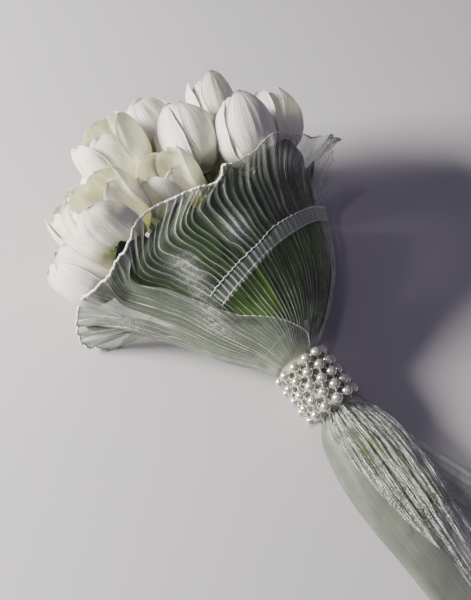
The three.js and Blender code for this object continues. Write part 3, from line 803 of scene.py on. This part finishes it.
def rim_curl(row, degrees, points, normal):
    """The rim pinches up into a fold at the top and rolls outward at the far right."""
    peak = bump_at(degrees, 92, 5) * smooth(14.2, 16, row)
    points = points + peak[..., None] * np.array([-2.5, 0.0, 3.0])
    roll = bump_at(degrees, 34, 12) * smooth(14.8, 16, row)
    frill = roll * np.sin(np.radians(degrees) * 40)
    return points + normal * (7.0 * roll + 3.2 * frill)[..., None] + (4.0 * roll)[..., None] * RISE


# Crumpled patches: row, degrees, and how far each reaches in both.
CRINKLES = [(14.1, 125, 0.36, 6), (13.7, 129, 0.4, 7), (13.2, 134, 0.36, 6), (12.7, 139, 0.4, 7),
            (12.4, 147, 0.5, 7), (13.95, 94, 0.42, 6), (14.7, 183, 0.6, 14)]


def crumpled(row, degrees):
    """How crumpled the cloth is, 0 to 1."""
    total = np.zeros(np.broadcast(row, degrees).shape)
    for at_row, at_turn, tall, wide in CRINKLES:
        total = np.maximum(total, bump_at(row, at_row, tall) * bump_at(degrees, at_turn, wide))
    return total


def in_tail(row):
    """1 on the tails' side of the band's middle, where the same cloth lies in finer folds."""
    return np.where(row < NECK_ROW, 1.0, 0.0)


def pleat_wave(phase):
    """A pressed pleat: a long rise and a short fall, 0 to 1."""
    part = phase - np.floor(phase)
    return np.where(part < 0.75, part / 0.75, (1 - part) / 0.25)


def cloth_grid(row, degrees, layer, pleat_mm, extra=0.0):
    """Points of a layer with its pleats, and each point's pleat number and pleat width."""
    turn = np.radians(degrees)
    plain = wrap_surface(row, turn)
    normal = outward(row, turn)
    phase = pleat_phase(row, degrees) * (1 + (TAIL_PLEATS - 1) * in_tail(row))
    step = np.linalg.norm(wrap_surface(row, turn + 0.01) - wrap_surface(row, turn - 0.01), axis=-1) / 0.02
    pitch = step * math.radians(PLEAT_DEGREES) / (1 + (TAIL_PLEATS - 1) * in_tail(row))
    tall = np.minimum(pleat_mm, 0.32 * pitch) * (1 - 0.3 * in_tail(row))
    rough = crumpled(row, degrees)
    folds = tall * (pleat_wave(phase) - 0.5)
    crease = 0.2 * rough * waves(9, plain, 5)
    height = layer_lift(row, layer) + folds + crease + mouth_ruffle(row, degrees) + extra
    points = plain + normal * height[..., None]
    points = rim_curl(row, degrees, points, normal)
    points[..., 2] = np.maximum(points[..., 2], CLOTH_FLOOR)
    return points, phase, pitch, rough


def gathered(row):
    """How closely the cloth is bunched by the band, 0 to 1."""
    return smooth(2.6, 0.9, np.abs(row - NECK_ROW))


def cloth_piece(name, node, material, points, numbers):
    """One panel: numbers are its pleat count, pleat width, veil, crumpling with its painted glint, and
    painted shade, in that order.
    """
    rows, columns = points.shape[:2]
    numbers = {key: np.broadcast_to(value, (rows, columns)).ravel()
               for key, value in zip(CLOTH_NUMBERS, numbers)}
    piece = mesh_piece(name, points.reshape(-1, 3), grid_faces(rows, columns), material, [node],
                       numbers=numbers)


# Points across each panel, and its step in rows.
PANEL_COLUMNS = 300
PANEL_STEP = 0.05


def read_edge(edge, at):
    """Reads an edge, a list of (place, value) pairs, at any places."""
    return np.interp(at, *np.array(edge, float).T)


def panel(start, end, step=PANEL_STEP):
    """Rows, degrees and place across (0 to 1) for each point of a panel between two edges."""
    row = np.linspace(0, RIM_ROW, int(round(RIM_ROW / step)) + 1)[:, None]
    side = np.linspace(0, 1, PANEL_COLUMNS)[None, :]
    a, b = read_edge(start, row), read_edge(end, row)
    degrees = a + (b - a) * side
    return row + 0 * degrees, degrees, side + 0 * degrees


# The top of the wrap, with the pleats that run from the band to the rim, and its tail.
row, degrees, side = panel(TOP_START, TOP_END)
tail = smooth(7.2, 6.0, row)
folds = np.stack([row * 2.0, degrees * 0.8], -1)
creases = np.stack([row * 9, degrees * 1.2], -1)
ripple = tail * (0.8 * waves(3, folds, 9) + 0.5 * waves(4, creases, 7))
points, phase, pitch, crumple_and_glint = cloth_grid(row, degrees, 0, 1.5, ripple)
patchy = 0.7 + 0.3 * waves(6, np.stack([row * 4, degrees * 0.5], -1), 12)
# Crumpled patches are more solid: partly more cloth, partly painted sheen.
veil = 0.07 + 0.16 * tail + 0.45 * gathered(row) + 0.45 * crumple_and_glint + 0.1 * smooth(14.8, 16, row)
veil = veil + 0.4 * bump_at(degrees, 36, 18) * smooth(14.6, 15.4, row)
# The tail's patchy crumpling carries painted glint.
crumple_and_glint = np.maximum(0.7 * crumple_and_glint, tail * patchy)
cloth_piece("organza_wrap_top", "organza_top_panel", WRAP_CLOTH, points,
            (phase, pitch, veil, crumple_and_glint, tail))

# The flap: laid over the top from the left, pressed in long close lines. Its tail lies under the top's.
row, degrees, side = panel(FLAP_START, FLAP_END)
tail = smooth(7.2, 6.0, row)
standing_edge = 1.8 * smooth(0.1, 0.0, side) * smooth(9.5, 12.0, row)
layer = -0.7 + 1.7 * smooth(7.0, 8.6, row)
points, phase, pitch, crumple_and_glint = cloth_grid(row, degrees, layer, 0.8, standing_edge)
veil = 0.44 + 0.26 * tail + 0.4 * gathered(row) + 0.3 * crumple_and_glint
veil = veil + 0.2 * smooth(0.035, 0.0, side) * smooth(8.6, 9.4, row)
veil = veil + 0.34 * bump_at(degrees, 192, 28) * smooth(13.2, 15.0, row)
shade = 0.8 * tail + 0.6 * bump_at(degrees, 190, 26) * smooth(13.0, 14.6, row)
cloth_piece("organza_flap", "organza_left_flap", FLAP_CLOTH, points,
            (phase + 0.5, pitch * (1 + 9 * tail), veil, crumple_and_glint, shade))

# The underside, which closes the cone below and on the right; its tail lies flat to the right.
row, degrees, side = panel(UNDER_START, UNDER_END, 0.06)
points, phase, pitch, crumple_and_glint = cloth_grid(row, degrees, 0, 1.3)
away = smooth(0, 2, NECK_ROW - 2.4 - row)
along = np.clip((points[..., 0] - 40) / 60, 0, 1)
left_edge, right_edge = 10 + 14 * along, 27 + 17 * along
flat_y = left_edge + (right_edge - left_edge) * side
flat_z = 1.4 + 0.8 * np.sin(side * PI) + 0.9 * np.abs(np.sin(side * 12 + np.sin(points[..., 0] * 0.05)))
points[..., 1] += (flat_y - points[..., 1]) * away
points[..., 2] += (flat_z - points[..., 2]) * away
veil = 0.2 + 0.28 * away + 0.3 * gathered(row)
cloth_piece("organza_underside", "organza_under_panel", WRAP_CLOTH, points,
            (phase, pitch, veil, crumple_and_glint, 0.0))

# The cuff: the cloth's edge turned out over the top of the wrap, ending in the wide hem strip.
CUFF_START = 24
CUFF_TURN = 120
CUFF_END = [(12, 126), (13, 132), (16, 145)]
across = np.linspace(0, 1, 260)[None, :]
down = np.linspace(0, 1, 70)[:, None]
straight = CUFF_START + CUFF_TURN * across + 0 * down
low, high = read_edge(STRIP_LOWER, straight), read_edge(STRIP_UPPER, straight)
row = low + (RIM_ROW - low) * down
degrees = CUFF_START + (read_edge(CUFF_END, row) - CUFF_START) * across
points, phase, pitch, crumple_and_glint = cloth_grid(row, degrees, 1, 1.5)
strip = smooth(0.02, -0.02, row - high)
cloth_piece("organza_cuff", "organza_collar", WRAP_CLOTH, points,
            (phase, pitch * 1.7, 0.04 + 0.5 * strip, crumple_and_glint, 0.0))


# ---- hems: rolled edges ----
HEM_PLEAT = 1.2
HEM_FLOOR = 0.1


def hem_piece(name, row, degrees, layer, radius, raised=0.0, sides=10):
    """A rolled edge that follows a layer of cloth along the given rows and degrees."""
    line, _, _, _ = cloth_grid(row, degrees, layer, HEM_PLEAT)
    line = line + outward(row, np.radians(degrees)) * raised
    points, faces = tube(line, radius, sides=sides)
    step = np.concatenate([[0], np.cumsum(np.linalg.norm(np.diff(line, axis=0), axis=1))])
    around = np.tile(np.linspace(0, 1, sides, endpoint=False), len(line))
    uv = np.concatenate([np.stack([around, np.repeat(step, sides)], -1), [[0, 0], [0, step[-1]]]])
    points[:, 2] = np.maximum(points[:, 2], HEM_FLOOR)
    mesh_piece(name, points, faces, HEM, uv=uv)


# The rim: thick from the top round the left, thin underneath, and wavering on the right.
degrees = np.linspace(90, 384, 900)
thick = (0.74 + 0.08 * waves(21, degrees[:, None], 11)) * (1 - 0.75 * smooth(208, 224, degrees))
hem_piece("rim_hem_left", np.full_like(degrees, RIM_ROW), degrees, 0.8, thick)
degrees = np.linspace(24, 96, 300)
thick = 0.30 + 0.30 * bump_at(degrees, 30, 20) + 0.05 * waves(22, degrees[:, None], 8)
hem_piece("rim_hem_right", np.full_like(degrees, RIM_ROW), degrees, 0.5, thick)

# The cuff's strip: a plain lower edge and an upper edge that scallops with the pleats.
degrees = np.linspace(24, 131, 500)
low, high = read_edge(STRIP_LOWER, degrees), read_edge(STRIP_UPPER, degrees)
scallop = 0.05 * (pleat_wave(pleat_phase(high, degrees)) - 0.5)
hem_piece("cuff_hem_lower", low, degrees, 1, 0.16, raised=0.2)
hem_piece("cuff_hem_upper", high + scallop, degrees, 1, 0.26, raised=0.3)

row = np.linspace(8.9, 13.2, 200)
hem_piece("flap_fold_edge", row, read_edge(FLAP_START, row) + 0.3, 1, 0.18, raised=1.2)


# ---- the pearl band ----
PEARL_R = 3.3
PEARL_ORBIT = 15.4
PEARL_COUNT = 12
PEARL_ROWS = 5
ROW_PITCH = 6.9
THREAD_R = 0.32
SEED_R = 0.75


def bead(middle, radius, across, down):
    """A round bead with its poles closed."""
    v = np.linspace(0, PI, down)[1:-1, None]
    a = np.linspace(0, 2 * PI, across, endpoint=False)[None, :]
    ring = np.stack([np.sin(v) * np.cos(a), np.sin(v) * np.sin(a), np.cos(v) + 0 * a], -1).reshape(-1, 3)
    points = np.concatenate([ring, [[0, 0, 1], [0, 0, -1]]]) * radius + middle
    faces = [tuple(q) for q in grid_faces(down - 2, across, closed=True, flip=True)]
    top, bottom, last = len(ring), len(ring) + 1, (down - 3) * across
    for k in range(across):
        n = (k + 1) % across
        faces.append((top, k, n))
        faces.append((bottom, last + n, last + k))
    return points, [tuple(reversed(f)) for f in faces]


def pearl_place(number, k, orbit=PEARL_ORBIT):
    """The middle of pearl k in a row; odd rows sit half a pearl round."""
    turn = (number % 2) * PI / PEARL_COUNT + k * 2 * PI / PEARL_COUNT
    return in_band((number - 2) * ROW_PITCH, orbit * math.cos(turn), orbit * math.sin(turn))


links = []
seeds = []
for number in range(PEARL_ROWS):
    parts = []
    draw = random.Random(100 + number)
    for k in range(PEARL_COUNT):
        jitter = np.array([draw.uniform(-0.15, 0.15) for _ in range(3)])
        parts.append(bead(pearl_place(number, k) + jitter, PEARL_R * draw.uniform(0.97, 1.02), 24, 16))
    points, faces = join_parts(parts)
    mesh_piece(f"pearls_{number + 1}", points, faces, NACRE, [f"pearl_row_{number + 1}"])
    # Thread runs to the next pearl in the row and to the two nearest in the next row, with a seed bead.
    for k in range(PEARL_COUNT):
        here, beside = pearl_place(number, k), pearl_place(number, (k + 1) % PEARL_COUNT)
        links.append(tube(through([here, (here + beside) / 2, beside], 6), THREAD_R, sides=6))
        if number == PEARL_ROWS - 1:
            continue
        near = [k, k - 1] if number % 2 == 0 else [k, k + 1]
        for other in near:
            there = pearl_place(number + 1, other % PEARL_COUNT)
            halfway = (here + there) / 2
            links.append(tube(through([here, halfway, there], 6), THREAD_R, sides=6))
            outside = halfway - BAND_PLACE
            outside -= AXIS * (outside @ AXIS)
            outside /= np.linalg.norm(outside)
            seeds.append(bead(halfway + outside * 0.6, SEED_R, 8, 6))
points, faces = join_parts(links)
mesh_piece("pearl_thread", points, faces, THREAD)
points, faces = join_parts(seeds)
mesh_piece("pearl_band_seed_beads", points, faces, NACRE)


# ---- the table and the light ----
TABLE_SIZE = 6
TABLE_GAP = 0.0002


def table_top():
    """Table top: matt pale laminate, rolled flat, with the faintest mottle."""
    material, tree = new_material("pale_table")
    where = add_node(tree, "TexCoord").outputs["Object"]
    cloud = add_node(tree, "TexNoise", {"Vector": where, "Scale": 6.0, "Detail": 2.0})
    colour = add_node(tree, "Mix", {
        "Factor": cloud, "A": linear("#B4B2B8"), "B": linear("#BBB9BD")}, data_type="RGBA")
    body = add_node(tree, "BsdfPrincipled", {
        "Base Color": colour, "Roughness": 0.7, "Specular IOR Level": 0.2})
    add_node(tree, "OutputMaterial", {"Surface": body})
    return material


bpy.ops.mesh.primitive_plane_add(size=TABLE_SIZE, location=(0, 0, -TABLE_GAP))
floor = bpy.context.object
floor.name = "table"
floor.data.materials.append(table_top())


def area_light(name, place, size, watts, colour):
    data = bpy.data.lights.new(name, "AREA")
    data.shape = "DISK"
    data.size = size
    data.energy = watts
    data.color = linear(colour)[:3]
    light = bpy.data.objects.new(name, data)
    bpy.context.scene.collection.objects.link(light)
    light.location = place
    light.rotation_euler = (Vector((0, 0, 0)) - Vector(place)).to_track_quat("-Z", "Y").to_euler()


def toward(right, up, back, far):
    """A place round the posy, as seen by the camera, in metres."""
    way = LOOK_RIGHT * right + LOOK_UP * up + LOOK_BACK * back
    way = way / np.linalg.norm(way) * far
    return tuple(way)


# Name, way and distance in metres, disc's width, watts and colour. The small lamp is what the pearls catch.
LIGHTS = [
    ("window", (-1.0, 0.3, 0.42, 1.15), 0.4, 48, "#FFFCF2"),
    ("lamp", (-0.32, 0.42, 1.0, 1.5), 0.06, 1.3, "#FFFFFF"),
    ("fill", (0.8, 0.2, 1.0, 2.0), 1.6, 1.6, "#DDD2F2"),
]
for name, way, size, watts, colour in LIGHTS:
    area_light(name, toward(*way), size, watts, colour)

world = bpy.data.worlds.new("room")
world.use_nodes = True
background = world.node_tree.nodes["Background"]
background.inputs["Color"].default_value = linear("#D2C2EC")
background.inputs["Strength"].default_value = 0.16
bpy.context.scene.world = world
